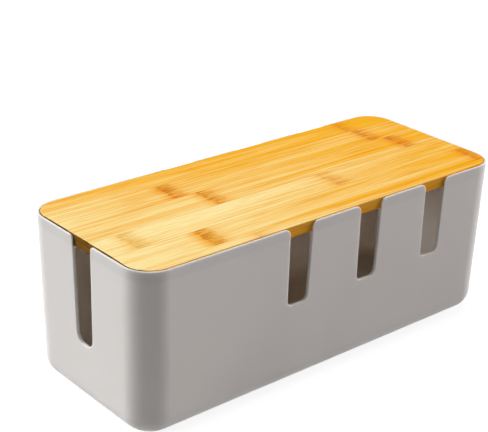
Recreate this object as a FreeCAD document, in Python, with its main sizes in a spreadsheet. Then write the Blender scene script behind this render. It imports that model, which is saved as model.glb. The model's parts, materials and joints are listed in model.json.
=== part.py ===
import FreeCAD
import Part
import Sketcher
import math
import os

# Cable box: a drafted plastic tub with open cable slots, a lid glued from bamboo strips, and four pads.
# The origin is on the surface that the box stands on, under the middle of the tub.
# X runs along the box, the end with the cable slot is at -X, and Z is up.

# Driving sizes, in millimetres and degrees
SIZES = [
    # outside of the tub
    ("box_length", 305),
    ("box_width", 124),
    ("tub_height", 113.5),
    ("end_draft", 0.85),
    ("side_draft", 1.2),
    ("corner_radius", 19.5),
    ("base_edge_radius", 13.5),
    ("edge_radius", 0.4),
    # inside of the tub
    ("wall", 2.5),
    ("rim_wall", 1.3),
    ("seat_depth", 7.2),
    # cable slots
    ("slot_width", 17),
    ("slot_draft", 1),
    ("side_slot_corner_radius", 4.5),
    ("side_slot_mouth_radius", 4.5),
    ("side_slot_depth", 54.5),
    ("side_slot_pitch", 60.3),
    ("side_slot_offset", 28.8),
    ("side_slot_count", 3),
    ("end_slot_depth", 71),
    ("end_slot_foot_width", 3),
    ("end_slot_mouth_radius", 3),
    # lid
    ("lid_clearance", 0.4),
    ("upper_ply", 3.75),
    ("lower_ply", 3.75),
    ("lid_edge_radius", 0.6),
    ("strip_count", 6),
    ("rear_strip_width", 20.3),
    ("front_strip_width", 7.1),
    # pads under the base
    ("pad_radius", 5),
    ("pad_thickness", 2),
    ("pad_proud", 1),
    ("pad_edge_radius", 0.3),
    ("pad_clearance", 0.2),
    ("pad_margin", 6),
    # how far a cutting shape runs past what it cuts
    ("overrun", 5),
]

doc = FreeCAD.newDocument("cable_box")
sheet = doc.addObject("Spreadsheet::Sheet", "Sizes")
for row, (alias, number) in enumerate(SIZES, start=1):
    sheet.set(f"A{row}", alias)
    sheet.set(f"B{row}", str(number))
    sheet.setAlias(f"B{row}", alias)
doc.recompute()

# Sizes that follow from the driving ones
END_LEAN = "tan(Sizes.end_draft * 1 deg)"
SIDE_LEAN = "tan(Sizes.side_draft * 1 deg)"
BASE_LENGTH = f"(Sizes.box_length - 2 * Sizes.tub_height * {END_LEAN})"
BASE_WIDTH = f"(Sizes.box_width - 2 * Sizes.tub_height * {SIDE_LEAN})"
SEAT_LEVEL = "(Sizes.pad_proud + Sizes.tub_height - Sizes.seat_depth)"
LID_GAP = "(Sizes.rim_wall + Sizes.lid_clearance)"
LID_LENGTH = f"(Sizes.box_length - 2 * {LID_GAP})"
LID_WIDTH = f"(Sizes.box_width - 2 * {LID_GAP})"
LID_THICKNESS = "(Sizes.upper_ply + Sizes.lower_ply)"
STRIP_WIDTH = f"(({LID_WIDTH} - Sizes.rear_strip_width - Sizes.front_strip_width) / (Sizes.strip_count - 2))"
NOTHING = "(0 * Sizes.wall)"
PAD_INSET = "(Sizes.base_edge_radius + Sizes.pad_margin + Sizes.pad_radius)"
PAD_X = f"({BASE_LENGTH} / 2 - {PAD_INSET})"
PAD_Y = f"({BASE_WIDTH} / 2 - {PAD_INSET})"

UP = FreeCAD.Vector(0, 0, 1)
# how a sketch numbers the points of a line or an arc, and its own axes
START, END, CENTRE = range(1, 4)
X_AXIS, Y_AXIS = range(-1, -3, -1)
ROOT = X_AXIS


def value(expression):
    """The number that an expression on the sheet gives."""
    return float(sheet.evalExpression(expression))


def origin_plane(body, role):
    return next(plane for plane in body.Origin.OriginFeatures if plane.Role == role)


def new_body(label, height=None):
    body = doc.addObject("PartDesign::Body", label)
    body.Label = label
    if height:
        body.setExpression("Placement.Base.z", height)
    return body


def new_sketch(body, name, role="XY_Plane", height=None):
    sketch = body.newObject("Sketcher::SketchObject", name)
    sketch.AttachmentSupport = [(origin_plane(body, role), "")]
    sketch.MapMode = "FlatFace"
    if height:
        sketch.setExpression("AttachmentOffset.Base.z", height)
    return sketch


def bind(sketch, kind, *where, to):
    """Adds a dimension to a sketch and ties it to an expression."""
    unit = math.radians(value(to)) if kind == "Angle" else value(to)
    index = sketch.addConstraint(Sketcher.Constraint(kind, *where, unit))
    sketch.setExpression(f"Constraints[{index}]", f"{to} * 1 deg" if kind == "Angle" else to)


def relate(sketch, kind, *where):
    sketch.addConstraint(Sketcher.Constraint(kind, *where))


def line(sketch, start, end):
    segment = Part.LineSegment(FreeCAD.Vector(*start, 0), FreeCAD.Vector(*end, 0))
    return sketch.addGeometry(segment, False)


def arc(sketch, centre, radius, first, last):
    """A counterclockwise arc between two angles in degrees."""
    circle = Part.Circle(FreeCAD.Vector(*centre, 0), UP, radius)
    return sketch.addGeometry(Part.ArcOfCircle(circle, math.radians(first), math.radians(last)), False)


def rounded_rectangle(body, name, length, width, radius, height=None):
    """A rounded rectangle centred on the body's Z axis. Its sizes are expressions."""
    sketch = new_sketch(body, name, height=height)
    half_x, half_y, turn = value(length) / 2, value(width) / 2, value(radius)
    flat_x, flat_y = half_x - turn, half_y - turn
    front = line(sketch, (-flat_x, -half_y), (flat_x, -half_y))
    corner = arc(sketch, (flat_x, -flat_y), turn, -90, 0)
    right = line(sketch, (half_x, -flat_y), (half_x, flat_y))
    arc(sketch, (flat_x, flat_y), turn, 0, 90)
    rear = line(sketch, (flat_x, half_y), (-flat_x, half_y))
    arc(sketch, (-flat_x, flat_y), turn, 90, 180)
    left = line(sketch, (-half_x, flat_y), (-half_x, -flat_y))
    last = arc(sketch, (-flat_x, -flat_y), turn, 180, 270)
    for piece in range(last + 1):
        relate(sketch, "Tangent", piece, END, (piece + 1) % (last + 1), START)
    for side in (front, rear):
        relate(sketch, "Horizontal", side)
    for side in (right, left):
        relate(sketch, "Vertical", side)
    for other in range(corner + 2, last + 1, 2):
        relate(sketch, "Equal", corner, other)
    relate(sketch, "Symmetric", front, START, rear, START, ROOT, START)
    bind(sketch, "Radius", corner, to=radius)
    bind(sketch, "DistanceX", left, START, right, START, to=length)
    bind(sketch, "DistanceY", front, START, rear, START, to=width)
    return sketch


def slot_outline(body, name, role, middle, depth, corner_radius, mouth_radius):
    """A slot that is open at the rim. Its sides lean apart, and its mouth flares into the rim."""
    sketch = new_sketch(body, name, role)
    rim, centre = value("Sizes.tub_height"), value(middle)
    bottom = rim - value(depth)
    turn, flare = value(corner_radius), value(mouth_radius)
    half, over = value("Sizes.slot_width") / 2, value("Sizes.overrun")
    draft = value("Sizes.slot_draft")
    sine, cosine = math.sin(math.radians(draft)), math.cos(math.radians(draft))
    turn_x = half - turn * (1 - sine) / cosine
    flare_x = half + (rim - flare - bottom) * sine / cosine + flare / cosine
    low_x, low_z = turn_x + turn * cosine, bottom + turn - turn * sine
    high_x, high_z = flare_x - flare * cosine, rim - flare + flare * sine

    foot = line(sketch, (centre - turn_x, bottom), (centre + turn_x, bottom))
    turn_right = arc(sketch, (centre + turn_x, bottom + turn), turn, -90, -draft)
    right = line(sketch, (centre + low_x, low_z), (centre + high_x, high_z))
    flare_right = arc(sketch, (centre + flare_x, rim - flare), flare, 90, 180 - draft)
    rise = line(sketch, (centre + flare_x, rim), (centre + flare_x, rim + over))
    top = line(sketch, (centre + flare_x, rim + over), (centre - flare_x, rim + over))
    drop = line(sketch, (centre - flare_x, rim + over), (centre - flare_x, rim))
    flare_left = arc(sketch, (centre - flare_x, rim - flare), flare, draft, 90)
    left = line(sketch, (centre - high_x, high_z), (centre - low_x, low_z))
    turn_left = arc(sketch, (centre - turn_x, bottom + turn), turn, 180 + draft, 270)
    # where each side, run on downwards, would meet the foot
    foot_right = sketch.addGeometry(Part.Point(FreeCAD.Vector(centre + half, bottom, 0)), True)
    foot_left = sketch.addGeometry(Part.Point(FreeCAD.Vector(centre - half, bottom, 0)), True)

    relate(sketch, "Tangent", foot, END, turn_right, START)
    relate(sketch, "Tangent", turn_right, END, right, START)
    relate(sketch, "Tangent", right, END, flare_right, END)
    relate(sketch, "Coincident", flare_right, START, rise, START)
    relate(sketch, "Coincident", rise, END, top, START)
    relate(sketch, "Coincident", top, END, drop, START)
    relate(sketch, "Coincident", drop, END, flare_left, END)
    relate(sketch, "Tangent", flare_left, START, left, START)
    relate(sketch, "Tangent", left, END, turn_left, START)
    relate(sketch, "Tangent", turn_left, END, foot, START)
    relate(sketch, "Horizontal", foot)
    relate(sketch, "Horizontal", top)
    relate(sketch, "Vertical", rise)
    relate(sketch, "Vertical", drop)
    relate(sketch, "Vertical", flare_right, START, flare_right, CENTRE)
    relate(sketch, "Vertical", flare_left, END, flare_left, CENTRE)
    relate(sketch, "Horizontal", flare_right, START, flare_left, END)
    relate(sketch, "Equal", turn_right, turn_left)
    relate(sketch, "Equal", flare_right, flare_left)
    relate(sketch, "PointOnObject", foot_right, START, foot)
    relate(sketch, "PointOnObject", foot_right, START, right)
    relate(sketch, "PointOnObject", foot_left, START, foot)
    relate(sketch, "PointOnObject", foot_left, START, left)
    bind(sketch, "Radius", turn_right, to=corner_radius)
    bind(sketch, "Radius", flare_right, to=mouth_radius)
    bind(sketch, "Angle", right, to="(90 - Sizes.slot_draft)")
    bind(sketch, "Angle", left, to="(Sizes.slot_draft - 90)")
    bind(sketch, "DistanceX", foot_left, START, foot_right, START, to="Sizes.slot_width")
    bind(sketch, "DistanceX", ROOT, START, foot_right, START, to=f"({middle} + Sizes.slot_width / 2)")
    bind(sketch, "DistanceY", rise, START, rise, END, to="Sizes.overrun")
    bind(sketch, "DistanceY", foot, END, flare_right, START, to=depth)
    bind(sketch, "DistanceY", ROOT, START, flare_right, START, to="Sizes.tub_height")
    return sketch


def edges_from(feature, low, high):
    """The names of the edges that run from one height to another."""
    near = value("Sizes.overrun") / 1e4
    boxes = [edge.BoundBox for edge in feature.Shape.Edges]
    return [f"Edge{number}" for number, box in enumerate(boxes, start=1)
            if abs(box.ZMin - low) < near and abs(box.ZMax - high) < near]


def outward_edges(feature):
    """The names of the edges where two faces meet in a sharp corner that points out of the solid."""
    names = []
    step = value("Sizes.edge_radius") / 10
    for number, edge in enumerate(feature.Shape.Edges, start=1):
        point = edge.valueAt(sum(edge.ParameterRange) / 2)
        normals = [face.normalAt(*face.Surface.parameter(point))
                   for face in feature.Shape.ancestorsOfType(edge, Part.Face)]
        if len(normals) == 2 and normals[0].getAngle(normals[1]) > math.radians(45):
            if not feature.Shape.isInside(point + (normals[0] - normals[1]) * step, step / 10, False):
                names.append(f"Edge{number}")
    return names


def fillet(body, name, feature, edges, radius):
    doc.recompute()
    rounding = body.newObject("PartDesign::Fillet", name)
    rounding.Base = (feature, edges)
    rounding.setExpression("Radius", radius)
    body.Tip = rounding
    return rounding


def cut(body, name, sketch, depth=None, both_ways=False, reverse=False):
    """A pocket from a sketch, right through where no depth is given. It has to take material away."""
    doc.recompute()
    before = body.Shape.Volume
    pocket = body.newObject("PartDesign::Pocket", name)
    pocket.Profile = sketch
    pocket.Reversed = reverse
    pocket.Type = "Length" if depth else "ThroughAll"
    if depth:
        pocket.setExpression("Length", depth)
    if both_ways:
        pocket.SideType = "Symmetric"
    body.Tip = pocket
    doc.recompute()
    if body.Shape.Volume >= before:
        raise RuntimeError(f"{name} cuts nothing")
    return pocket


def drafted_block(body, low, high, inset, corner, edge):
    """A block whose faces lean out by the drafts and lie at an inset from the outer faces of the tub."""
    block = body.newObject("PartDesign::AdditiveWedge", f"{body.Label}_block")
    block.AttachmentSupport = [(origin_plane(body, "XZ_Plane"), "")]
    block.MapMode = "FlatFace"
    foot, head = ("Xmin", "Xmax", "Zmin", "Zmax"), ("X2min", "X2max", "Z2min", "Z2max")
    for level, ends in ((low, foot), (high, head)):
        half_length = f"(Sizes.box_length / 2 - (Sizes.tub_height - {level}) * {END_LEAN} - {inset})"
        half_width = f"(Sizes.box_width / 2 - (Sizes.tub_height - {level}) * {SIDE_LEAN} - {inset})"
        for end, place in zip(ends, (f"-{half_length}", half_length, f"-{half_width}", half_width)):
            block.setExpression(end, place)
    block.setExpression("Ymin", low)
    block.setExpression("Ymax", high)
    body.Tip = block
    doc.recompute()
    bottom, top = value(low), value(high)
    corners = fillet(body, f"{body.Label}_corners", block, edges_from(block, bottom, top), corner)
    doc.recompute()
    fillet(body, f"{body.Label}_lower_edge", corners, edges_from(corners, bottom, bottom), edge)


def build_tub():
    tub = new_body("tub", "Sizes.pad_proud")
    drafted_block(tub, NOTHING, "Sizes.tub_height", NOTHING, "Sizes.corner_radius", "Sizes.base_edge_radius")

    # the hollow is one wall thickness inside the outer faces, and its floor as far above the base
    core = new_body("core", "Sizes.pad_proud")
    drafted_block(core, "Sizes.wall", "(Sizes.tub_height + Sizes.overrun)", "Sizes.wall",
                  "(Sizes.corner_radius - Sizes.wall)", "(Sizes.base_edge_radius - Sizes.wall)")
    hollow = tub.newObject("PartDesign::Boolean", "hollow")
    hollow.Type = "Cut"
    hollow.Group = [core]
    tub.Tip = hollow

    # the lid drops into a recess that leaves a thin rim around it and a seat under it
    rim_twice = "2 * Sizes.rim_wall"
    outline = rounded_rectangle(tub, "recess_outline", f"(Sizes.box_length - {rim_twice})",
                                f"(Sizes.box_width - {rim_twice})",
                                "(Sizes.corner_radius - Sizes.rim_wall)", "Sizes.tub_height")
    cut(tub, "recess", outline, "Sizes.seat_depth")

    # cable slots: a row through both long walls at once, and one in the end wall
    first = "(Sizes.side_slot_offset - Sizes.side_slot_pitch * (Sizes.side_slot_count - 1) / 2)"
    outline = slot_outline(tub, "side_slot_outline", "XZ_Plane", first, "Sizes.side_slot_depth",
                           "Sizes.side_slot_corner_radius", "Sizes.side_slot_mouth_radius")
    side_slot = cut(tub, "side_slot", outline, both_ways=True)
    row_of_slots = tub.newObject("PartDesign::LinearPattern", "side_slots")
    row_of_slots.Originals = [side_slot]
    row_of_slots.Direction = (outline, ["H_Axis"])
    row_of_slots.Mode = "Spacing"
    row_of_slots.setExpression("Offset", "Sizes.side_slot_pitch")
    row_of_slots.setExpression("Occurrences", "Sizes.side_slot_count")
    tub.Tip = row_of_slots
    outline = slot_outline(tub, "end_slot_outline", "YZ_Plane", NOTHING, "Sizes.end_slot_depth",
                           "((Sizes.slot_width - Sizes.end_slot_foot_width) / 2)", "Sizes.end_slot_mouth_radius")
    end_slot = cut(tub, "end_slot", outline)

    # the rim, the ledge and the slots have softened edges
    fillet(tub, "softened_edges", end_slot, outward_edges(end_slot), "Sizes.edge_radius")
    doc.recompute()

    # sockets that the pads are glued into
    sketch = new_sketch(tub, "socket_outline")
    radius = value("Sizes.pad_radius + Sizes.pad_clearance")
    for side_x, side_y in ((1, 1), (-1, 1), (1, -1), (-1, -1)):
        place = FreeCAD.Vector(side_x * value(PAD_X), side_y * value(PAD_Y), 0)
        sketch.addGeometry(Part.Circle(place, UP, radius), False)
    relate(sketch, "Symmetric", 0, CENTRE, 1, CENTRE, Y_AXIS)
    relate(sketch, "Symmetric", 0, CENTRE, 2, CENTRE, X_AXIS)
    relate(sketch, "Symmetric", 1, CENTRE, 3, CENTRE, X_AXIS)
    for other in (1, 2, 3):
        relate(sketch, "Equal", 0, other)
    bind(sketch, "Radius", 0, to="(Sizes.pad_radius + Sizes.pad_clearance)")
    bind(sketch, "DistanceX", ROOT, START, 0, CENTRE, to=PAD_X)
    bind(sketch, "DistanceY", ROOT, START, 0, CENTRE, to=PAD_Y)
    cut(tub, "sockets", sketch, "Sizes.pad_thickness - Sizes.pad_proud", reverse=True)
    return tub


def build_lid():
    """Two plies of strips, cut out of one board by long blanks. Their joints are half a strip apart."""
    board = new_body("lid_board", SEAT_LEVEL)
    outline = rounded_rectangle(board, "lid_outline", LID_LENGTH, LID_WIDTH,
                                f"(Sizes.corner_radius - {LID_GAP})")
    slab = board.newObject("PartDesign::Pad", "slab")
    slab.Profile = outline
    slab.setExpression("Length", LID_THICKNESS)
    doc.recompute()
    edges = edges_from(slab, 0, 0) + edges_from(slab, value(LID_THICKNESS), value(LID_THICKNESS))
    fillet(board, "eased_edges", slab, edges, "Sizes.lid_edge_radius")
    doc.recompute()

    plies = (("top", f"({SEAT_LEVEL} + Sizes.lower_ply)", "Sizes.upper_ply", "Sizes.rear_strip_width"),
             ("bottom", SEAT_LEVEL, "Sizes.lower_ply", f"(Sizes.rear_strip_width - {STRIP_WIDTH} / 2)"))
    strips = []
    count = round(value("Sizes.strip_count"))
    for ply, level, thickness, rear_strip in plies:
        for number in range(count):
            front = f"({LID_WIDTH} / 2 - {rear_strip} - {number} * {STRIP_WIDTH})"
            width = STRIP_WIDTH
            if number == 0:
                width = rear_strip
            if number == count - 1:
                width = f"({LID_WIDTH} - {rear_strip} - (Sizes.strip_count - 2) * {STRIP_WIDTH})"
                front = f"(-{LID_WIDTH} / 2)"
            blank = doc.addObject("Part::Box", f"{ply}_blank_{number + 1}")
            blank.setExpression("Length", f"{LID_LENGTH} + 2 * Sizes.overrun")
            blank.setExpression("Width", width)
            blank.setExpression("Height", thickness)
            blank.setExpression("Placement.Base.x", f"-{LID_LENGTH} / 2 - Sizes.overrun")
            blank.setExpression("Placement.Base.y", front)
            blank.setExpression("Placement.Base.z", level)
            strip = doc.addObject("Part::Common", f"lid_{ply}_strip_{number + 1}")
            strip.Label = f"lid_{ply}_strip_{number + 1}"
            strip.Base = board
            strip.Tool = blank
            strips.append(strip)
    return strips


def build_pads():
    pads = []
    for end, side_x in (("left", "-"), ("right", "")):
        for side, side_y in (("front", "-"), ("rear", "")):
            pad = new_body(f"pad_{side}_{end}")
            pad.setExpression("Placement.Base.x", f"{side_x}{PAD_X}")
            pad.setExpression("Placement.Base.y", f"{side_y}{PAD_Y}")
            sketch = new_sketch(pad, f"{pad.Label}_outline")
            sketch.addGeometry(Part.Circle(FreeCAD.Vector(0, 0, 0), UP, value("Sizes.pad_radius")), False)
            relate(sketch, "Coincident", 0, CENTRE, ROOT, START)
            bind(sketch, "Radius", 0, to="Sizes.pad_radius")
            disc = pad.newObject("PartDesign::Pad", f"{pad.Label}_disc")
            disc.Profile = sketch
            disc.setExpression("Length", "Sizes.pad_thickness")
            doc.recompute()
            fillet(pad, f"{pad.Label}_edge", disc, edges_from(disc, 0, 0), "Sizes.pad_edge_radius")
            pads.append(pad)
    return pads


def write_steps(pieces):
    """Stops on any failed object or shape, then writes one file for each piece."""
    doc.recompute()
    for item in doc.Objects:
        if "Invalid" in item.State or "Error" in item.State:
            raise RuntimeError(f"{item.Label} failed: {item.State}")
    for piece in pieces:
        if piece.Shape.isNull() or not piece.Shape.isValid() or not piece.Shape.Solids:
            raise RuntimeError(f"{piece.Label} has no valid solid")
    os.makedirs("parts", exist_ok=True)
    for piece in pieces:
        piece.Shape.exportStep(f"parts/{piece.Label}.step")
        print(f"{piece.Label}: {len(piece.Shape.Solids)} solid, {piece.Shape.Volume:.1f} mm3")


write_steps([build_tub()] + build_lid() + build_pads())
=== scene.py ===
"""A desk cable box with a moulded tub, a glued bamboo lid and pads under it, dressed for a studio picture.

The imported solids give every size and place. The tub keeps its solid and gets its plastic. The lid's strips
and the pads are made again with eased edges and treads, each in the place of its own solid.
"""

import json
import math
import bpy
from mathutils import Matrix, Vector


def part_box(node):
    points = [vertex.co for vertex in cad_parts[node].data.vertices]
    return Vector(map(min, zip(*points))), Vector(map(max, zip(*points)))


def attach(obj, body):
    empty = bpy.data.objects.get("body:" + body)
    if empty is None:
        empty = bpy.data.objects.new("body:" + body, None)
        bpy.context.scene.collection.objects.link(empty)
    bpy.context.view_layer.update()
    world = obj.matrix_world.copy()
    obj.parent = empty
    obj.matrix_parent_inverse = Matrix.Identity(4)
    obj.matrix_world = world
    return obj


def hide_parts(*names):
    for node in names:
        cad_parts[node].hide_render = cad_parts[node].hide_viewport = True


bl_info = {
    "name": "Cable Box with Bamboo Lid",
    "version": (1, 0, 0),
    "blender": (4, 5, 0),
    "location": "3D View > Sidebar > Cable Box",
    "description": "Moulds the tub, glues up the bamboo lid, sets the pads and lights the studio",
    "category": "Object",
}

import bpy
from bpy.props import FloatProperty, FloatVectorProperty, IntProperty, PointerProperty
from mathutils import Matrix, Vector

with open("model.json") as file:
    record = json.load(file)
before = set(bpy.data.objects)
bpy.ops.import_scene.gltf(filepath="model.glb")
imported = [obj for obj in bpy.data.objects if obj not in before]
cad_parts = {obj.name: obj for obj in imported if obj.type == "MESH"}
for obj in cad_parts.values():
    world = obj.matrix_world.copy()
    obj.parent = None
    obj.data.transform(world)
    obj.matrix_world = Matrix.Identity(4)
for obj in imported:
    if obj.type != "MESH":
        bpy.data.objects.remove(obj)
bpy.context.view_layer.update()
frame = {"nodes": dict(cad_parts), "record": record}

PADS = ("pad_front_left", "pad_front_right", "pad_rear_left", "pad_rear_right")

# Each strip of the lid, from the rear to the front: how golden it is, then its two growth rings, each with
# its place along the grain from the lid's centre in metres and how dark it is. NO_RING stands off the board.
NO_RING = (0.400, 0.0)
TOP_STRIPS = (
    (0.94, (0.112, 0.60), NO_RING),
    (0.58, (-0.064, 1.35), (0.114, 1.10)),
    (0.56, (-0.048, 1.35), (0.124, 1.20)),
    (0.27, (-0.127, 0.70), (0.036, 0.75)),
    (0.60, (-0.087, 1.70), (0.147, 1.00)),
    (0.57, (-0.059, 0.60), NO_RING),
)
LOWER_STRIPS = (
    (0.45, (-0.100, 0.60), (0.090, 0.50)),
    (0.70, (0.020, 0.70), NO_RING),
    (0.25, (-0.132, 0.40), (0.064, 0.80)),
    (0.60, (-0.020, 0.60), (0.139, 0.60)),
    (0.35, (-0.075, 0.70), NO_RING),
    (0.65, (0.010, 0.50), NO_RING),
)

# Where most of a noise's values lie, and where its middle ones lie
MOST = (0.3, 0.7)
MIDDLE = (0.35, 0.65)

# A Mix node's sockets: its share and the two things that it mixes, and its result
COLOUR_INPUTS = (0, 6, 7)
COLOUR_RESULT = 2
NUMBER_INPUTS = (0, 2, 3)
NUMBER_RESULT = 0

# Even patterns: how fine each one is per metre, with its detail and roughness
SHEEN_PATCHES = (60.0, 3.0, 0.6)
MOULD_GRAIN = (2600.0, 2.0, 0.6)
END_PORES = (1500.0, 1.0, 0.5)
RUBBER_DUST = (420.0, 4.0, 0.65)
RUBBER_GRAIN = (5000.0, 2.0, 0.5)

# Drawn-out patterns: how fine each one is per metre along X, Y and Z, with its detail and roughness
FLOW_MARKS = ((14.0, 14.0, 5.0), 3.0, 0.55)
FIBRE_BANDS = ((4.0, 170.0, 170.0), 2.0, 0.45)
FIBRE_LINES = ((12.0, 560.0, 560.0), 2.0, 0.6)
FIBRE_HAIRS = ((42.0, 1700.0, 1700.0), 1.0, 0.5)
TONE_DRIFT = ((5.0, 12.0, 12.0), 1.0, 0.5)
RING_RAGGEDNESS = ((0.5, 260.0, 260.0), 2.0, 0.5)
RING_STREAKS = ((110.0, 700.0, 700.0), 3.0, 0.6)
END_LAYERS = ((60.0, 60.0, 900.0), 2.0, 0.5)

# How a pattern turns into the share of a colour: the values at which it starts and ends, and its shares
DARK_LINES = (0.54, 0.72, 0.0, 0.55)
DARK_HAIRS = (0.56, 0.68, 0.0, 0.60)
CORE_STREAKS = (0.37, 0.60, 0.1, 1.0)
LAYERS_SHOW = (*MIDDLE, 0.0, 0.55)
PORES_SHOW = (0.45, 0.65, 0.0, 0.5)
DUST_SHOWS = (0.4, 0.7, 0.0, 0.5)

# The same for how level a face lies, how far it faces along the grain, and its metres from a glue line
SIDE_FACE = (0.35, 0.8, 1.0, 0.0)
CUT_END = (0.45, 0.95, 0.0, 1.0)
GLUE_LINE = (0.0001, 0.0004, 0.6, 0.0)

# How much brighter the pale parts of the cut ends and of the dusty rubber are
END_BRIGHTNESS = 2.0
DUST_BRIGHTNESS = 1.5

# How far the roughness moves below and above its setting, how much rougher a cut end is, and the rubber's own
PLASTIC_SHEEN = (0.04, 0.05)
WOOD_SHEEN = (0.05, 0.07)
CUT_END_ROUGHER = 0.25
RUBBER_ROUGHNESS = (0.62, 0.85)

# Fine relief: its strength, then its depth in metres where no setting gives it
PLASTIC_RELIEF = 0.35
WOOD_RELIEF = (0.5, 0.00008)
RUBBER_RELIEF = (0.4, 0.00002)

# How high the fibres stand in the wood's relief, how deep the dark hairs lie, and how high the rings stand
LINES_HEIGHT = 0.6
HAIRS_DEPTH = 0.8
RINGS_HEIGHT = 0.5

# How each material bends and spreads light, the spread by red, green and blue
PLASTIC_IOR = 1.49
PLASTIC_GLOW = (1.0, 0.99, 0.98)
WOOD_IOR = 1.5
WOOD_SPECULAR = 0.05

# How far below and above the ledge, in metres, the plastic's colour changes into the rim's painted shade, and
# how dark the flow marks get
BELOW_LEDGE = 0.0006
ABOVE_LEDGE = 0.0008
FLOW_SHADE = 0.94

# How far each pattern moves a strip's tone, how far the tone moves along the board, paling towards the left
# end as a painted sheen, and across it, and the tones of the board's upright sides
DRIFT_REACH = 0.14
BANDS_REACH = 0.26
LINES_REACH = 0.24
PAINTED_SHEEN_ALONG = 0.42
TONE_ACROSS = 0.06
SIDE_TONE = (0.72, 1.0)

# How far apart the strips' patterns lie along and across the grain, in metres for each step of the seed
SEED_STEP = (0.731, 0.0917)

# Growth rings: the halo's length in ring lengths, the soft edges' shares of the length, how much each part
# shows, where along the ring it pales and to what share, and how far its edge strays in metres
HALO_LENGTH = 1.7
HALO_EDGE = 0.32
HALO_SHARE = 0.75
CORE_EDGE = 0.14
CORE_SHARE = 0.8
TAIL_START = -0.4
TAIL_END = 0.5
TAIL_SHARE = 0.42
RING_REACH = 0.0014

# The board's tree: points on each corner, the cutting blank's size in boards and plies, its tolerances in
# metres and shares, the angle of a sharp edge in radians, the weight under which no edge is eased, and the
# segments of every eased edge
CORNER_POINTS = 14
BLANK_LENGTH = 1.2
BLANK_HEIGHT = 3.0
WELD = 1e-6
SAME_LEVEL = 1e-5
NEARLY_HALF = 0.4999
SHARP_EDGE = 0.5
NO_BEVEL = 0.01
BEVEL_SEGMENTS = 3

# The pads' tree: rings of faces in a pad, the tread's share of its radius, and the rim's angle in radians
PAD_RINGS = 20
TREAD_SHARE = 0.88
PAD_RIM = 1.2

# How much of its glow the floor gives up for its shade
GLOW_GIVEN_UP = 0.5

# The camera's sensor in millimetres, and how near and far it sees in metres
SENSOR_WIDTH = 36.0
CLIP = (0.01, 50.0)


def low_corner(name):
    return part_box(name)[0]


def high_corner(name):
    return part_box(name)[1]


def lid_box():
    """Lowest and highest corner of the whole lid, over all its strips."""
    strips = frame["record"]["behaviour"]["bodies"]["lid"]
    low = Vector(min(low_corner(name)[axis] for name in strips) for axis in range(3))
    high = Vector(max(high_corner(name)[axis] for name in strips) for axis in range(3))
    return low, high


LID_LOW, LID_HIGH = lid_box()


class TubFinish(bpy.types.PropertyGroup):
    """The tub's moulded plastic."""

    colour: FloatVectorProperty(
        name="Plastic", description="Colour of the moulded walls", subtype="COLOR", min=0, max=1,
        default=(0.84, 0.807, 0.78))
    # The thinned rim's colour is darker than the walls': painted shade that holds down the light glowing
    # through the rim.
    rim_shaded_colour: FloatVectorProperty(
        name="Thin rim", description="Colour of the thinned rim, which lets some light through",
        subtype="COLOR", min=0, max=1, default=(0.80, 0.772, 0.745))
    ledge: FloatProperty(
        name="Ledge", description="Height at which the lid's seat thins the wall", unit="LENGTH",
        default=LID_LOW.z, precision=4)
    gloss: FloatProperty(
        name="Roughness", description="Roughness of the polished mould's finish", subtype="FACTOR", min=0,
        max=1, default=0.34)
    mottle: FloatProperty(
        name="Flow marks", description="How strongly the plastic's flow shows in its tone", subtype="FACTOR",
        min=0, max=1, default=0.35)
    glow_depth: FloatProperty(
        name="Light depth", description="How far light spreads inside the milky plastic", unit="LENGTH",
        default=0.0022, precision=4)
    grain_depth: FloatProperty(
        name="Mould grain", description="Depth of the mould's fine grain", unit="LENGTH", default=0.00001,
        precision=6)


class LidFinish(bpy.types.PropertyGroup):
    """The lid's board and its bamboo."""

    corner_radius: FloatProperty(
        name="Corner radius", description="Radius of the board's corners, seen from above", unit="LENGTH",
        default=0.0178, precision=4)
    edge_radius: FloatProperty(
        name="Eased edge", description="Radius sanded on the board's edges", unit="LENGTH", default=0.0006,
        precision=5)
    glue_groove: FloatProperty(
        name="Glue groove", description="Share of the eased edge left along each glue line", subtype="FACTOR",
        min=0, max=1, default=0.10)
    pale: FloatVectorProperty(
        name="Pale strip", description="Colour of the palest strip", subtype="COLOR", min=0, max=1,
        default=(0.98, 0.80, 0.37))
    golden: FloatVectorProperty(
        name="Golden strip", description="Colour of the most golden strip", subtype="COLOR", min=0, max=1,
        default=(0.91, 0.44, 0.005))
    ring: FloatVectorProperty(
        name="Growth ring", description="Stain that a growth ring lays over its strip", subtype="COLOR",
        min=0, max=1, default=(0.96, 0.66, 0.25))
    ring_core: FloatVectorProperty(
        name="Ring core", description="Further stain where a growth ring is at its darkest", subtype="COLOR",
        min=0, max=1, default=(0.70, 0.55, 0.22))
    fibre: FloatVectorProperty(
        name="Fibre", description="Stain of the dark fibres over their strip", subtype="COLOR", min=0, max=1,
        default=(0.92, 0.66, 0.26))
    # The cut ends' dark brown is their own darker tone, deepened with painted shade.
    end_grain_and_shade: FloatVectorProperty(
        name="End grain", description="Colour of the cut ends", subtype="COLOR", min=0, max=1,
        default=(0.135, 0.062, 0.006))
    ring_length: FloatProperty(
        name="Ring length", description="Length of a growth ring along the grain", unit="LENGTH",
        default=0.0108, precision=4)
    gloss: FloatProperty(
        name="Roughness", description="Roughness of the oiled surface", subtype="FACTOR", min=0, max=1,
        default=0.50)


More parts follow.
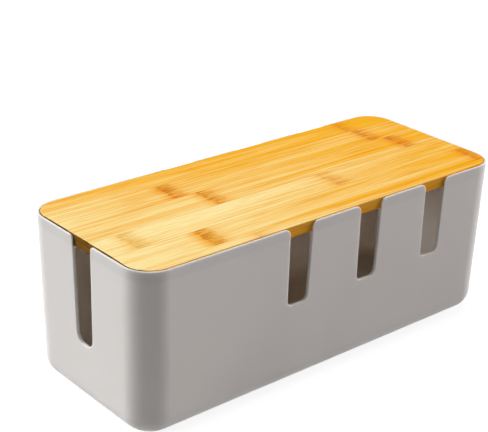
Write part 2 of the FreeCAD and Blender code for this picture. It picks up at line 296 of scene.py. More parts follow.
class PadFinish(bpy.types.PropertyGroup):
    """The anti-slip pads under the tub."""

    colour: FloatVectorProperty(
        name="Rubber", description="Colour of the pads", subtype="COLOR", min=0, max=1,
        default=(0.30, 0.29, 0.28))
    sides: IntProperty(name="Sides", description="Facets round each pad", default=64, min=12)
    tread_pitch: FloatProperty(
        name="Tread pitch", description="Distance between the rings moulded in the tread", unit="LENGTH",
        default=0.001, precision=5)
    tread_depth: FloatProperty(
        name="Tread depth", description="Depth of the rings moulded in the tread", unit="LENGTH",
        default=0.0002, precision=5)
    edge_radius: FloatProperty(
        name="Eased edge", description="Radius on the pads' edges", unit="LENGTH", default=0.0003,
        precision=5)


class StudioSettings(bpy.types.PropertyGroup):
    """The floor, the lamps and the camera."""

    floor_size: FloatProperty(
        name="Floor", description="Length of the floor's sides", unit="LENGTH", default=12)
    floor_bounce: FloatProperty(
        name="Floor bounce", description="How much lamp light the floor throws back up", subtype="FACTOR",
        min=0, max=1, default=0.45)
    floor_shade: FloatProperty(
        name="Floor shade", description="How much of the object's shadow shows on the floor",
        subtype="FACTOR", min=0, max=1, default=0.30)
    ambient: FloatProperty(
        name="Ambient", description="Light that comes evenly from all round", default=0.08, min=0)
    key: FloatProperty(name="Key lamp", description="Strength of the lamp on the left", default=3.2, min=0)
    key_bearing: FloatProperty(
        name="Key bearing", description="Compass bearing of the key lamp, from the rear (+Y)",
        unit="ROTATION", default=math.radians(-34))
    key_height: FloatProperty(
        name="Key height", description="Angle of the key lamp above the floor", unit="ROTATION",
        default=math.radians(28))
    side: FloatProperty(name="Side lamp", description="Strength of the lamp on the right", default=2.3, min=0)
    side_bearing: FloatProperty(
        name="Side bearing", description="Compass bearing of the side lamp, from the rear (+Y)",
        unit="ROTATION", default=math.radians(106))
    side_height: FloatProperty(
        name="Side height", description="Angle of the side lamp above the floor", unit="ROTATION",
        default=math.radians(12))
    side_colour: FloatVectorProperty(
        name="Side colour", description="Colour of the side lamp's light", subtype="COLOR", min=0, max=1,
        default=(1.0, 0.955, 0.96))
    top: FloatProperty(name="Top lamp", description="Strength of the lamp overhead", default=0.92, min=0)
    softness: FloatProperty(
        name="Softness", description="Apparent width of each lamp", unit="ROTATION", default=math.radians(30))
    camera_bearing: FloatProperty(
        name="Camera bearing", description="Direction the camera looks in, from the rear (+Y)",
        unit="ROTATION", default=math.radians(40.66549))
    camera_tilt: FloatProperty(
        name="Camera tilt", description="How far the camera looks down", unit="ROTATION",
        default=math.radians(23.89037))
    camera_roll: FloatProperty(
        name="Camera roll", description="Turn of the camera about its own line of sight", unit="ROTATION",
        default=math.radians(1.65075))
    camera_distance: FloatProperty(
        name="Camera distance", description="Distance from the camera to its target", unit="LENGTH",
        default=0.881394, precision=4)
    camera_target: FloatProperty(
        name="Target height", description="Height of the camera's target", unit="LENGTH", default=0.054375,
        precision=4)
    camera_right: FloatProperty(
        name="Camera right", description="Sideways step of the camera, along the picture", unit="LENGTH",
        default=-0.0186993, precision=4)
    camera_up: FloatProperty(
        name="Camera up", description="Upward step of the camera, along the picture", unit="LENGTH",
        default=0.0327952, precision=4)
    lens: FloatProperty(
        name="Lens", description="Focal length on a 36 mm wide sensor", unit="CAMERA", default=95.79)


class CableBoxSettings(bpy.types.PropertyGroup):
    """Every size and colour of the cable box that a user would change."""

    tub: PointerProperty(type=TubFinish, name="Tub", description="The tub's plastic")
    lid: PointerProperty(type=LidFinish, name="Lid", description="The lid's board and its bamboo")
    pads: PointerProperty(type=PadFinish, name="Pads", description="The pads under the tub")
    studio: PointerProperty(type=StudioSettings, name="Studio", description="Floor, lamps and camera")


def put(tree, kind, wires=None, **settings):
    """Adds a node. A wire's value is a number or colour for that input, or the socket that feeds it."""
    node = tree.nodes.new(kind)
    for name, setting in settings.items():
        setattr(node, name, setting)
    for name, wire in (wires or {}).items():
        if isinstance(wire, bpy.types.NodeSocket):
            tree.links.new(wire, node.inputs[name])
        else:
            node.inputs[name].default_value = wire
    return node


def maths(tree, operation, first, second=0.0):
    """One Math node's result."""
    return put(tree, "ShaderNodeMath", {0: first, 1: second}, operation=operation).outputs["Value"]


def vector(tree, x=0.0, y=0.0, z=0.0):
    return put(tree, "ShaderNodeCombineXYZ", {"X": x, "Y": y, "Z": z}).outputs["Vector"]


def axes_of(tree, place):
    """The X, Y and Z outputs of a vector."""
    return put(tree, "ShaderNodeSeparateXYZ", {0: place}).outputs


def span(tree, value, low, high, start=0.0, end=1.0, kind="SMOOTHSTEP"):
    """Maps value from low..high to start..end, and holds it at either end."""
    wires = {"Value": value, "From Min": low, "From Max": high, "To Min": start, "To Max": end}
    return put(tree, "ShaderNodeMapRange", wires, interpolation_type=kind).outputs["Result"]


def blend(tree, share, first, second, mode="MIX"):
    """Mixes two colours by share."""
    wires = dict(zip(COLOUR_INPUTS, (share, first, second)))
    return put(tree, "ShaderNodeMix", wires, data_type="RGBA", blend_type=mode).outputs[COLOUR_RESULT]


def opaque(colour, brightness=1.0):
    return (*(min(1.0, channel * brightness) for channel in colour), 1.0)


def stained(tree, colour, share, stain):
    """A colour under a share of a stain."""
    return blend(tree, share, colour, opaque(stain), "MULTIPLY")


def new_material(name):
    """An empty material with its output and a Principled shader, joined."""
    material = bpy.data.materials.new(name)
    material.use_nodes = True
    tree = material.node_tree
    tree.nodes.clear()
    shader = put(tree, "ShaderNodeBsdfPrincipled")
    put(tree, "ShaderNodeOutputMaterial", {"Surface": shader.outputs["BSDF"]})
    return material, tree, shader


def noise(tree, place, scale, detail, roughness):
    wires = {"Vector": place, "Scale": scale, "Detail": detail, "Roughness": roughness}
    return put(tree, "ShaderNodeTexNoise", wires).outputs["Fac"]


def streaks(tree, place, pattern):
    """A noise drawn out by its own scale along each axis."""
    scale, detail, roughness = pattern
    stretched = put(tree, "ShaderNodeMapping", {"Vector": place, "Scale": scale}).outputs["Vector"]
    return noise(tree, stretched, 1.0, detail, roughness)


def uneven(tree, pattern, gloss, reach):
    """Roughness that follows a pattern a little below and above its setting."""
    below, above = reach
    return span(tree, pattern, *MOST, gloss - below, gloss + above)


def emboss(tree, shader, height, strength, depth):
    """Gives a surface its fine relief."""
    bump = put(tree, "ShaderNodeBump", {"Height": height, "Strength": strength, "Distance": depth})
    tree.links.new(bump.outputs["Normal"], shader.inputs["Normal"])


def moulded_plastic(look):
    """Milky, semi-gloss white plastic with faint flow marks, a fine mould grain and painted shade on the
    thinned rim, which holds down the light that glows through it.
    """
    material, tree, shader = new_material("moulded_plastic")
    place = put(tree, "ShaderNodeTexCoord").outputs["Object"]
    # Painted shade: the rim above the ledge takes the darker rim colour.
    rim_shade_mask = span(tree, axes_of(tree, place)["Z"], look.ledge - BELOW_LEDGE, look.ledge + ABOVE_LEDGE)
    plain = blend(tree, rim_shade_mask, opaque(look.colour), opaque(look.rim_shaded_colour))
    flow = span(tree, streaks(tree, place, FLOW_MARKS), *MIDDLE, 0.0, look.mottle)
    tree.links.new(blend(tree, flow, plain, opaque(look.colour, FLOW_SHADE)), shader.inputs["Base Color"])
    patches = noise(tree, place, *SHEEN_PATCHES)
    tree.links.new(uneven(tree, patches, look.gloss, PLASTIC_SHEEN), shader.inputs["Roughness"])
    emboss(tree, shader, noise(tree, place, *MOULD_GRAIN), PLASTIC_RELIEF, look.grain_depth)
    shader.inputs["IOR"].default_value = PLASTIC_IOR
    shader.inputs["Subsurface Weight"].default_value = 1.0
    shader.inputs["Subsurface Radius"].default_value = PLASTIC_GLOW
    shader.inputs["Subsurface Scale"].default_value = look.glow_depth
    return material


def attribute(tree, name):
    """A value that a strip's tree stored, as the outputs of its node."""
    return put(tree, "ShaderNodeAttribute", attribute_name=name, attribute_type="GEOMETRY").outputs


def own_place(tree, place):
    """Object coordinates moved by the strip's own seed, so that no two strips share their fibres."""
    seed = attribute(tree, "grain_seed")["Fac"]
    along, across = (maths(tree, "MULTIPLY", seed, step) for step in SEED_STEP)
    wires = {0: place, 1: vector(tree, along, across)}
    return put(tree, "ShaderNodeVectorMath", wires, operation="ADD").outputs["Vector"]


def strip_tone(tree, at, own, bands, lines, side_face):
    """How golden the wood is, from 0 to 1: its strip's tone, moved by its fibres and its place on the lid,
    whose paler left end is a painted sheen.
    """
    golden = attribute(tree, "tone")["Fac"]
    drift = streaks(tree, own, TONE_DRIFT)
    for value, reach in ((drift, DRIFT_REACH), (bands, BANDS_REACH), (lines, LINES_REACH)):
        golden = maths(tree, "ADD", golden, span(tree, value, *MOST, -reach, reach, "LINEAR"))
    # Painted sheen: the lid pales towards its left end.
    along = span(tree, at["X"], LID_LOW.x, LID_HIGH.x, -PAINTED_SHEEN_ALONG, PAINTED_SHEEN_ALONG, "LINEAR")
    across = span(tree, at["Y"], LID_LOW.y, LID_HIGH.y, -TONE_ACROSS, TONE_ACROSS, "LINEAR")
    golden = maths(tree, "ADD", maths(tree, "ADD", golden, along), across)
    on_side = span(tree, bands, *MOST, *SIDE_TONE, "LINEAR")
    wires = dict(zip(NUMBER_INPUTS, (side_face, golden, on_side)))
    golden = put(tree, "ShaderNodeMix", wires, data_type="FLOAT").outputs[NUMBER_RESULT]
    return maths(tree, "MINIMUM", maths(tree, "MAXIMUM", golden, 0.0), 1.0)


def growth_rings(tree, offsets, strengths, length, edge):
    """How much of the growth rings shows: each rises over its edge, pales along the grain and falls again."""
    rings = 0.0
    for offset, strength in zip(offsets, strengths):
        rise = span(tree, offset, -(0.5 + edge) * length, -(0.5 - edge) * length)
        paler = maths(tree, "MULTIPLY", strength, TAIL_SHARE)
        tail = span(tree, offset, TAIL_START * length, TAIL_END * length, strength, paler)
        fall = span(tree, offset, (0.5 - edge) * length, (0.5 + edge) * length, 1.0, 0.0)
        shape = maths(tree, "MULTIPLY", maths(tree, "MULTIPLY", rise, tail), fall)
        rings = maths(tree, "ADD", rings, shape)
    return rings


def ringed(tree, look, wood, along, own):
    """The wood under its growth rings, each a soft halo with a streaked core, and how much core shows."""
    rings = [axes_of(tree, attribute(tree, name)["Vector"]) for name in ("first_ring", "second_ring")]
    wobble = span(tree, streaks(tree, own, RING_RAGGEDNESS), *MOST, -RING_REACH, RING_REACH, "LINEAR")
    ragged = maths(tree, "ADD", along, wobble)
    offsets = [maths(tree, "SUBTRACT", ragged, ring["X"]) for ring in rings]
    strengths = [ring["Y"] for ring in rings]
    halo = growth_rings(tree, offsets, strengths, HALO_LENGTH * look.ring_length, HALO_EDGE)
    wood = stained(tree, wood, maths(tree, "MULTIPLY", halo, HALO_SHARE), look.ring)
    patchy = span(tree, streaks(tree, own, RING_STREAKS), *CORE_STREAKS)
    core = growth_rings(tree, offsets, strengths, look.ring_length, CORE_EDGE)
    core = maths(tree, "MULTIPLY", core, patchy)
    return stained(tree, wood, maths(tree, "MULTIPLY", core, CORE_SHARE), look.ring_core), core


def glue_lines(tree, look, wood, across):
    """The wood with a darker line along both sides of its strip."""
    sides = axes_of(tree, attribute(tree, "strip_sides")["Vector"])
    to_front = maths(tree, "SUBTRACT", across, sides["X"])
    to_rear = maths(tree, "SUBTRACT", sides["Y"], across)
    line = span(tree, maths(tree, "MINIMUM", to_front, to_rear), *GLUE_LINE)
    return stained(tree, wood, line, look.fibre)


def end_grain_and_shade(tree, look, own):
    """The cut ends: layers of fibres with fine pores, in a dark brown that deepens their own tone with
    painted shade.
    """
    layers = span(tree, streaks(tree, own, END_LAYERS), *LAYERS_SHOW)
    pores = span(tree, noise(tree, own, *END_PORES), *PORES_SHOW)
    pale = opaque(look.end_grain_and_shade, END_BRIGHTNESS)
    return blend(tree, maths(tree, "ADD", layers, pores), opaque(look.end_grain_and_shade), pale)


def bamboo(look):
    """Pressed bamboo. Each strip reads its own seed, tone and growth rings from what its tree stores."""
    material, tree, shader = new_material("bamboo")
    coordinates = put(tree, "ShaderNodeTexCoord").outputs
    at = axes_of(tree, coordinates["Object"])
    facing = axes_of(tree, coordinates["Normal"])
    side_face = span(tree, maths(tree, "ABSOLUTE", facing["Z"]), *SIDE_FACE)
    cut_end = span(tree, maths(tree, "ABSOLUTE", facing["X"]), *CUT_END)

    own = own_place(tree, coordinates["Object"])
    bands = streaks(tree, own, FIBRE_BANDS)
    lines = streaks(tree, own, FIBRE_LINES)
    golden = strip_tone(tree, at, own, bands, lines, side_face)
    wood = blend(tree, golden, opaque(look.pale), opaque(look.golden))
    wood = stained(tree, wood, span(tree, lines, *DARK_LINES), look.fibre)
    dark_hairs = span(tree, streaks(tree, own, FIBRE_HAIRS), *DARK_HAIRS)
    wood = stained(tree, wood, dark_hairs, look.fibre)
    wood, rings = ringed(tree, look, wood, at["X"], own)
    wood = glue_lines(tree, look, wood, at["Y"])
    wood = blend(tree, cut_end, wood, end_grain_and_shade(tree, look, own))
    tree.links.new(wood, shader.inputs["Base Color"])

    rough = maths(tree, "ADD", uneven(tree, lines, look.gloss, WOOD_SHEEN),
                  maths(tree, "MULTIPLY", cut_end, CUT_END_ROUGHER))
    tree.links.new(rough, shader.inputs["Roughness"])
    raised = maths(tree, "MULTIPLY", lines, LINES_HEIGHT)
    height = maths(tree, "SUBTRACT", raised, maths(tree, "MULTIPLY", dark_hairs, HAIRS_DEPTH))
    height = maths(tree, "ADD", height, maths(tree, "MULTIPLY", rings, RINGS_HEIGHT))
    emboss(tree, shader, height, *WOOD_RELIEF)
    shader.inputs["Specular IOR Level"].default_value = WOOD_SPECULAR
    shader.inputs["IOR"].default_value = WOOD_IOR
    return material


def rubber(look):
    """Matt pad rubber with a dusty tread."""
    material, tree, shader = new_material("pad_rubber")
    place = put(tree, "ShaderNodeTexCoord").outputs["Object"]
    dust = noise(tree, place, *RUBBER_DUST)
    dusty = opaque(look.colour, DUST_BRIGHTNESS)
    colour = blend(tree, span(tree, dust, *DUST_SHOWS), opaque(look.colour), dusty)
    tree.links.new(colour, shader.inputs["Base Color"])
    tree.links.new(span(tree, dust, *MOST, *RUBBER_ROUGHNESS), shader.inputs["Roughness"])
    emboss(tree, shader, noise(tree, place, *RUBBER_GRAIN), *RUBBER_RELIEF)
    return material


def new_tree(name, inputs):
    """A geometry tree with named inputs. Returns the tree, its inputs' sockets and its output node."""
    tree = bpy.data.node_groups.new(name, "GeometryNodeTree")
    tree.interface.new_socket("Geometry", in_out="INPUT", socket_type="NodeSocketGeometry")
    for label, kind in inputs:
        tree.interface.new_socket(label, in_out="INPUT", socket_type=f"NodeSocket{kind}")
    tree.interface.new_socket("Geometry", in_out="OUTPUT", socket_type="NodeSocketGeometry")
    return tree, put(tree, "NodeGroupInput").outputs, put(tree, "NodeGroupOutput")


def compare(tree, operation, first, second):
    wires = {0: first, 1: second}
    return put(tree, "FunctionNodeCompare", wires, data_type="FLOAT", operation=operation).outputs[0]


def both(tree, first, second):
    return put(tree, "FunctionNodeBooleanMath", {0: first, 1: second}, operation="AND").outputs[0]


def switch(tree, condition, otherwise, chosen):
    wires = {"Switch": condition, "False": otherwise, "True": chosen}
    return put(tree, "GeometryNodeSwitch", wires, input_type="FLOAT").outputs["Output"]


def position(tree):
    return axes_of(tree, put(tree, "GeometryNodeInputPosition").outputs[0])


def edge_angle(tree):
    return put(tree, "GeometryNodeInputMeshEdgeAngle").outputs["Unsigned Angle"]


def moved(tree, shape, step):
    return put(tree, "GeometryNodeTransform", {"Geometry": shape, "Translation": step}).outputs["Geometry"]


def store(tree, shape, name, value, kind="FLOAT", domain="POINT"):
    wires = {"Geometry": shape, "Name": name, "Value": value}
    node = put(tree, "GeometryNodeStoreNamedAttribute", wires, data_type=kind, domain=domain)
    return node.outputs["Geometry"]


def finish_tree(tree, output, shape, material):
    """Ends a tree in plain geometry with its material."""
    real = put(tree, "GeometryNodeRealizeInstances", {"Geometry": shape}).outputs["Geometry"]
    dressed = put(tree, "GeometryNodeSetMaterial", {"Geometry": real, "Material": material})
    tree.links.new(dressed.outputs["Geometry"], output.inputs["Geometry"])


def whole_board(tree, size, thickness):
    """The board's rounded outline, raised from the strip's underside to its top."""
    rectangle = put(tree, "GeometryNodeCurvePrimitiveQuadrilateral",
                    {"Width": size["Board Length"], "Height": size["Board Width"]})
    rounded = put(tree, "GeometryNodeFilletCurve",
                  {"Curve": rectangle.outputs["Curve"], "Radius": size["Corner Radius"],
                   "Count": CORNER_POINTS, "Limit Radius": True}, mode="POLY")
    filled = put(tree, "GeometryNodeFillCurve", {"Curve": rounded.outputs["Curve"]}, mode="NGONS")
    face = filled.outputs["Mesh"]
    raised = put(tree, "GeometryNodeExtrudeMesh",
                 {"Mesh": face, "Offset": vector(tree, z=1.0), "Offset Scale": thickness,
                  "Individual": False}, mode="FACES")
    floor = put(tree, "GeometryNodeFlipFaces", {"Mesh": face}).outputs["Mesh"]
    shell = put(tree, "GeometryNodeJoinGeometry")
    tree.links.new(floor, shell.inputs["Geometry"])
    tree.links.new(raised.outputs["Mesh"], shell.inputs["Geometry"])
    wires = {"Geometry": shell.outputs["Geometry"], "Distance": WELD}
    board = put(tree, "GeometryNodeMergeByDistance", wires)
    return moved(tree, board.outputs["Geometry"], vector(tree, z=size["Underside"]))


def cut_to_strip(tree, board, size, thickness, width, middle):
    """The board's part between the strip's two sides."""
    level = maths(tree, "MULTIPLY", maths(tree, "ADD", size["Top"], size["Underside"]), 0.5)
    length = maths(tree, "MULTIPLY", size["Board Length"], BLANK_LENGTH)
    height = maths(tree, "MULTIPLY", thickness, BLANK_HEIGHT)
    blank = put(tree, "GeometryNodeMeshCube", {"Size": vector(tree, length, width, height)}).outputs["Mesh"]
    cut = put(tree, "GeometryNodeMeshBoolean", operation="INTERSECT", solver="EXACT")
    tree.links.new(board, cut.inputs["Mesh 2"])
    tree.links.new(moved(tree, blank, vector(tree, y=middle, z=level)), cut.inputs["Mesh 2"])
    return cut.outputs["Mesh"]


def mark_edges(tree, shape, size, width, middle):
    """Marks how far each edge of the strip is eased: fully round the board, a little along its glue lines."""
    spot = position(tree)
    off_face = maths(tree, "ABSOLUTE", maths(tree, "SUBTRACT", spot["Z"], size["Outer Face"]))
    outer = compare(tree, "LESS_THAN", off_face, SAME_LEVEL)
    off_middle = maths(tree, "ABSOLUTE", maths(tree, "SUBTRACT", spot["Y"], middle))
    at_side = compare(tree, "GREATER_THAN", off_middle, maths(tree, "MULTIPLY", width, NEARLY_HALF))
    inside = compare(tree, "LESS_THAN", maths(tree, "ABSOLUTE", spot["Y"]),
                     maths(tree, "MULTIPLY", size["Board Width"], NEARLY_HALF))
    share = switch(tree, both(tree, at_side, inside), 1.0, size["Glue Groove"])
    sharp = compare(tree, "GREATER_THAN", edge_angle(tree), SHARP_EDGE)
    weight = switch(tree, both(tree, outer, sharp), 0.0, share)
    creased = both(tree, sharp, compare(tree, "LESS_THAN", weight, NO_BEVEL))
    shape = put(tree, "GeometryNodeSetShadeSmooth", {0: shape, "Selection": creased, "Shade Smooth": False},
                domain="EDGE").outputs[0]
    return store(tree, shape, "bevel_weight_edge", weight, domain="EDGE")


def strip_tree():
    """One strip of the lid, cut from the whole board at its two sides, with its own seed, tone and rings."""
    tree, size, output = new_tree("lid_strip", (
        ("Board Length", "Float"), ("Board Width", "Float"), ("Corner Radius", "Float"),
        ("Front Side", "Float"), ("Rear Side", "Float"), ("Underside", "Float"), ("Top", "Float"),
        ("Outer Face", "Float"), ("Glue Groove", "Float"), ("Grain Seed", "Float"), ("Tone", "Float"),
        ("First Ring", "Vector"), ("Second Ring", "Vector"), ("Material", "Material")))
    width = maths(tree, "SUBTRACT", size["Rear Side"], size["Front Side"])
    middle = maths(tree, "MULTIPLY", maths(tree, "ADD", size["Rear Side"], size["Front Side"]), 0.5)
    thickness = maths(tree, "SUBTRACT", size["Top"], size["Underside"])
    board = whole_board(tree, size, thickness)
    shape = cut_to_strip(tree, board, size, thickness, width, middle)
    shape = mark_edges(tree, shape, size, width, middle)
    shape = store(tree, shape, "grain_seed", size["Grain Seed"])
    shape = store(tree, shape, "tone", size["Tone"])
    shape = store(tree, shape, "first_ring", size["First Ring"], kind="FLOAT_VECTOR")
    shape = store(tree, shape, "second_ring", size["Second Ring"], kind="FLOAT_VECTOR")
    sides = vector(tree, size["Front Side"], size["Rear Side"])
    shape = store(tree, shape, "strip_sides", sides, kind="FLOAT_VECTOR")
    finish_tree(tree, output, shape, size["Material"])
    return tree


def pad_tree():
    """One pad: a round of rubber with rings moulded in its tread."""
    tree, size, output = new_tree("anti_slip_pad", (
        ("Sides", "Int"), ("Radius", "Float"), ("Thickness", "Float"), ("Centre", "Vector"),
        ("Tread Pitch", "Float"), ("Tread Depth", "Float"), ("Material", "Material")))
    disc = put(tree, "GeometryNodeMeshCylinder",
               {"Vertices": size["Sides"], "Side Segments": 1, "Fill Segments": PAD_RINGS,
                "Radius": size["Radius"], "Depth": size["Thickness"]},
               fill_type="TRIANGLE_FAN").outputs["Mesh"]
    spot = position(tree)
    reach = put(tree, "ShaderNodeVectorMath", {0: vector(tree, spot["X"], spot["Y"])},
                operation="LENGTH").outputs["Value"]
    turn = maths(tree, "MULTIPLY", maths(tree, "DIVIDE", reach, size["Tread Pitch"]), 2.0 * math.pi)
    wave = maths(tree, "MULTIPLY", maths(tree, "SUBTRACT", 1.0, maths(tree, "COSINE", turn)), 0.5)
    tread = both(tree, compare(tree, "LESS_THAN", spot["Z"], 0.0),
                 compare(tree, "LESS_THAN", reach, maths(tree, "MULTIPLY", size["Radius"], TREAD_SHARE)))
    offset = vector(tree, z=maths(tree, "MULTIPLY", wave, size["Tread Depth"]))
    moulded = put(tree, "GeometryNodeSetPosition", {"Geometry": disc, "Selection": tread, "Offset": offset})
    weight = switch(tree, compare(tree, "GREATER_THAN", edge_angle(tree), PAD_RIM), 0.0, 1.0)
    shape = store(tree, moulded.outputs["Geometry"], "bevel_weight_edge", weight, domain="EDGE")
    finish_tree(tree, output, moved(tree, shape, size["Centre"]), size["Material"])
    return tree


def grow(name, tree, values):
    """Runs a tree with its inputs set, and keeps the result as a plain mesh object."""
    seedling = bpy.data.objects.new("seedling", bpy.data.meshes.new("seedling"))
    bpy.context.scene.collection.objects.link(seedling)
    modifier = seedling.modifiers.new("grow", "NODES")
    modifier.node_group = tree
    sockets = {item.name: item.identifier for item in tree.interface.items_tree if item.in_out == "INPUT"}
    for label, value in values.items():
        modifier[sockets[label]] = value
    seedling.update_tag()
    depsgraph = bpy.context.evaluated_depsgraph_get()
    mesh = bpy.data.meshes.new_from_object(seedling.evaluated_get(depsgraph), depsgraph=depsgraph)
    bpy.data.objects.remove(seedling)
    if not mesh.polygons:
        raise RuntimeError(f"{name} came out of its tree with no faces")
    mesh.name = name
    piece = bpy.data.objects.new(name, mesh)
    bpy.context.scene.collection.objects.link(piece)
    return piece


def ease_edges(piece, radius):
    """Rounds the edges that the tree marked, and shades the rest smooth but for the creases that it keeps."""
    piece.data.shade_smooth()
    bevel = piece.modifiers.new("eased_edges", "BEVEL")
    bevel.limit_method = "WEIGHT"
    bevel.width = radius
    bevel.segments = BEVEL_SEGMENTS
    bevel.harden_normals = True


class OBJECT_OT_cable_box_tub(bpy.types.Operator):
    """Give the moulded tub its plastic"""

    bl_idname = "object.cable_box_tub"
    bl_label = "Mould the Tub"

    def execute(self, context):
        tub = frame["nodes"]["tub"]
        plastic = moulded_plastic(context.scene.cable_box.tub)
        for place in tub.material_slots:
            place.material = plastic
        return {"FINISHED"}


class OBJECT_OT_cable_box_lid(bpy.types.Operator):
    """Glue up the lid from its bamboo strips, each in the place of its own solid"""

    bl_idname = "object.cable_box_lid"
    bl_label = "Glue Up the Lid"

    def execute(self, context):
        look = context.scene.cable_box.lid
        wood = bamboo(look)
        tree = strip_tree()
        for ply, strips in (("top", TOP_STRIPS), ("bottom", LOWER_STRIPS)):
            for number, (tone, first_ring, second_ring) in enumerate(strips, 1):
                node = f"lid_{ply}_strip_{number}"
                low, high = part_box(node)
                piece = grow(f"bamboo_{ply}_strip_{number}", tree, {
                    "Board Length": LID_HIGH.x - LID_LOW.x,
                    "Board Width": LID_HIGH.y - LID_LOW.y,
                    "Corner Radius": look.corner_radius,
                    "Front Side": low.y,
                    "Rear Side": high.y,
                    "Underside": low.z,
                    "Top": high.z,
                    "Outer Face": high.z if ply == "top" else low.z,
                    "Glue Groove": look.glue_groove,
                    "Grain Seed": number + (0.5 if ply == "bottom" else 0.0),
                    "Tone": tone,
                    "First Ring": (*first_ring, 0.0),
                    "Second Ring": (*second_ring, 0.0),
                    "Material": wood,
                })
                ease_edges(piece, look.edge_radius)
                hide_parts(node)
                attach(piece, "lid")
        return {"FINISHED"}


class OBJECT_OT_cable_box_pads(bpy.types.Operator):
    """Set the four anti-slip pads in their sockets under the tub"""

    bl_idname = "object.cable_box_pads"
    bl_label = "Set the Pads"

    def execute(self, context):
        look = context.scene.cable_box.pads
        material = rubber(look)
        tree = pad_tree()
        for node in PADS:
            low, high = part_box(node)
            piece = grow(f"rubber_{node}", tree, {
                "Sides": look.sides,
                "Radius": (high.x - low.x) / 2,
                "Thickness": high.z - low.z,
                "Centre": (low + high) / 2,
                "Tread Pitch": look.tread_pitch,
                "Tread Depth": look.tread_depth,
                "Material": material,
            })
            ease_edges(piece, look.edge_radius)
            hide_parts(node)
            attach(piece, "tub")
        return {"FINISHED"}


def seen_directly(tree):
    """1 for rays from the camera, from gloss and through glass, and 0 for rays that light other surfaces."""
    path = put(tree, "ShaderNodeLightPath").outputs
    seen = maths(tree, "ADD", path["Is Camera Ray"], path["Is Glossy Ray"])
    return maths(tree, "MINIMUM", maths(tree, "ADD", seen, path["Is Transmission Ray"]), 1.0)


def grey(brightness):
    return opaque((brightness,) * 3)


def floor_material(look):
    """White where the camera sees it, with the object's shadow, and a measured bounce of lamp light."""
    material = bpy.data.materials.new("studio_floor")
    material.use_nodes = True
    tree = material.node_tree
    tree.nodes.clear()
    bounce = put(tree, "ShaderNodeBsdfDiffuse", {"Color": grey(look.floor_bounce)})
    shade = put(tree, "ShaderNodeBsdfDiffuse", {"Color": grey(look.floor_shade)})
    strength = 1.0 - GLOW_GIVEN_UP * look.floor_shade
    glow = put(tree, "ShaderNodeEmission", {"Color": grey(1.0), "Strength": strength})
    pale = put(tree, "ShaderNodeAddShader", {0: shade.outputs["BSDF"], 1: glow.outputs["Emission"]})
    mixed = put(tree, "ShaderNodeMixShader",
                {0: seen_directly(tree), 1: bounce.outputs["BSDF"], 2: pale.outputs["Shader"]})
    put(tree, "ShaderNodeOutputMaterial", {"Surface": mixed.outputs["Shader"]})
    return material


def lay_floor(look):
    """A plain square floor under the object."""
    half = look.floor_size / 2
    mesh = bpy.data.meshes.new("studio_floor")
    corners = [(-half, -half, 0), (half, -half, 0), (half, half, 0), (-half, half, 0)]
    mesh.from_pydata(corners, [], [(0, 1, 2, 3)])
    mesh.materials.append(floor_material(look))
    floor = bpy.data.objects.new("studio_floor", mesh)
    bpy.context.scene.collection.objects.link(floor)


def light_room(look):
    """An even ambient light, which shows as white behind the object."""
    world = bpy.data.worlds.new("studio_room")
    bpy.context.scene.world = world
    world.use_nodes = True
    tree = world.node_tree
    tree.nodes.clear()
    strength = span(tree, seen_directly(tree), 0.0, 1.0, look.ambient, 1.0, "LINEAR")
    room = put(tree, "ShaderNodeBackground", {"Color": grey(1.0), "Strength": strength})
    put(tree, "ShaderNodeOutputWorld", {"Surface": room.outputs["Background"]})


def hang_lamp(name, strength, bearing, height, softness, colour=(1.0, 1.0, 1.0)):
    """A soft distant lamp. Its bearing runs clockwise from the rear of the object."""
    lamp = bpy.data.lights.new(name, "SUN")
    lamp.energy = strength
    lamp.angle = softness
    lamp.color = colour
    holder = bpy.data.objects.new(name, lamp)
    bpy.context.scene.collection.objects.link(holder)
    level = math.cos(height)
    source = Vector((math.sin(bearing) * level, math.cos(bearing) * level, math.sin(height)))
    holder.rotation_mode = "QUATERNION"
    holder.rotation_quaternion = source.to_track_quat("Z", "Y")
    holder.location = source


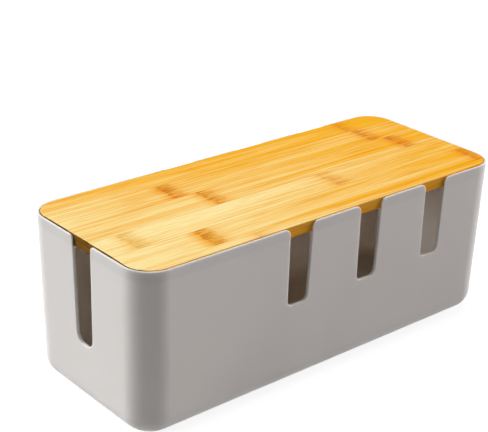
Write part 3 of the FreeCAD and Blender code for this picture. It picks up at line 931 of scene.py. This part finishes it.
def place_camera(look):
    """The camera where the picture was taken from."""
    lens = bpy.data.cameras.new("studio_camera")
    lens.lens = look.lens
    lens.sensor_width = SENSOR_WIDTH
    lens.sensor_fit = "HORIZONTAL"
    lens.clip_start, lens.clip_end = CLIP
    bearing, tilt, roll = look.camera_bearing, look.camera_tilt, look.camera_roll
    ahead = Vector((math.sin(bearing) * math.cos(tilt), math.cos(bearing) * math.cos(tilt), -math.sin(tilt)))
    level = Vector((math.cos(bearing), -math.sin(bearing), 0.0))
    above = level.cross(ahead)
    right = level * math.cos(roll) + above * math.sin(roll)
    up = above * math.cos(roll) - level * math.sin(roll)
    eye = Vector((0, 0, look.camera_target)) - ahead * look.camera_distance
    eye += right * look.camera_right + up * look.camera_up
    camera = bpy.data.objects.new("studio_camera", lens)
    bpy.context.scene.collection.objects.link(camera)
    camera.matrix_world = Matrix.Translation(eye) @ Matrix((right, up, -ahead)).transposed().to_4x4()
    bpy.context.scene.camera = camera


class OBJECT_OT_cable_box_studio(bpy.types.Operator):
    """Lay the floor, hang the lamps and place the camera"""

    bl_idname = "object.cable_box_studio"
    bl_label = "Set the Studio"

    def execute(self, context):
        look = context.scene.cable_box.studio
        lay_floor(look)
        light_room(look)
        hang_lamp("key_lamp", look.key, look.key_bearing, look.key_height, look.softness)
        hang_lamp("side_lamp", look.side, look.side_bearing, look.side_height, look.softness,
                  look.side_colour)
        hang_lamp("top_lamp", look.top, 0.0, math.radians(90), look.softness)
        place_camera(look)
        context.scene.view_settings.view_transform = "Standard"
        return {"FINISHED"}


class VIEW3D_PT_cable_box(bpy.types.Panel):
    """The cable box's pieces, with their sizes and colours"""

    bl_idname = "VIEW3D_PT_cable_box"
    bl_label = "Cable Box"
    bl_space_type = "VIEW_3D"
    bl_region_type = "UI"
    bl_category = "Cable Box"

    def draw(self, context):
        settings = context.scene.cable_box
        for group, operator in (
                (settings.tub, OBJECT_OT_cable_box_tub), (settings.lid, OBJECT_OT_cable_box_lid),
                (settings.pads, OBJECT_OT_cable_box_pads), (settings.studio, OBJECT_OT_cable_box_studio)):
            box = self.layout.box()
            for name in group.__annotations__:
                box.prop(group, name)
            box.operator(operator.bl_idname)


CLASSES = (TubFinish, LidFinish, PadFinish, StudioSettings, CableBoxSettings, OBJECT_OT_cable_box_tub,
           OBJECT_OT_cable_box_lid, OBJECT_OT_cable_box_pads, OBJECT_OT_cable_box_studio, VIEW3D_PT_cable_box)


def register():
    for cls in CLASSES:
        bpy.utils.register_class(cls)
    bpy.types.Scene.cable_box = PointerProperty(type=CableBoxSettings)


def unregister():
    del bpy.types.Scene.cable_box
    for cls in reversed(CLASSES):
        bpy.utils.unregister_class(cls)


def main():
    register()
    bpy.ops.object.cable_box_tub()
    bpy.ops.object.cable_box_lid()
    bpy.ops.object.cable_box_pads()
    bpy.ops.object.cable_box_studio()


if __name__ == "__main__":
    main()
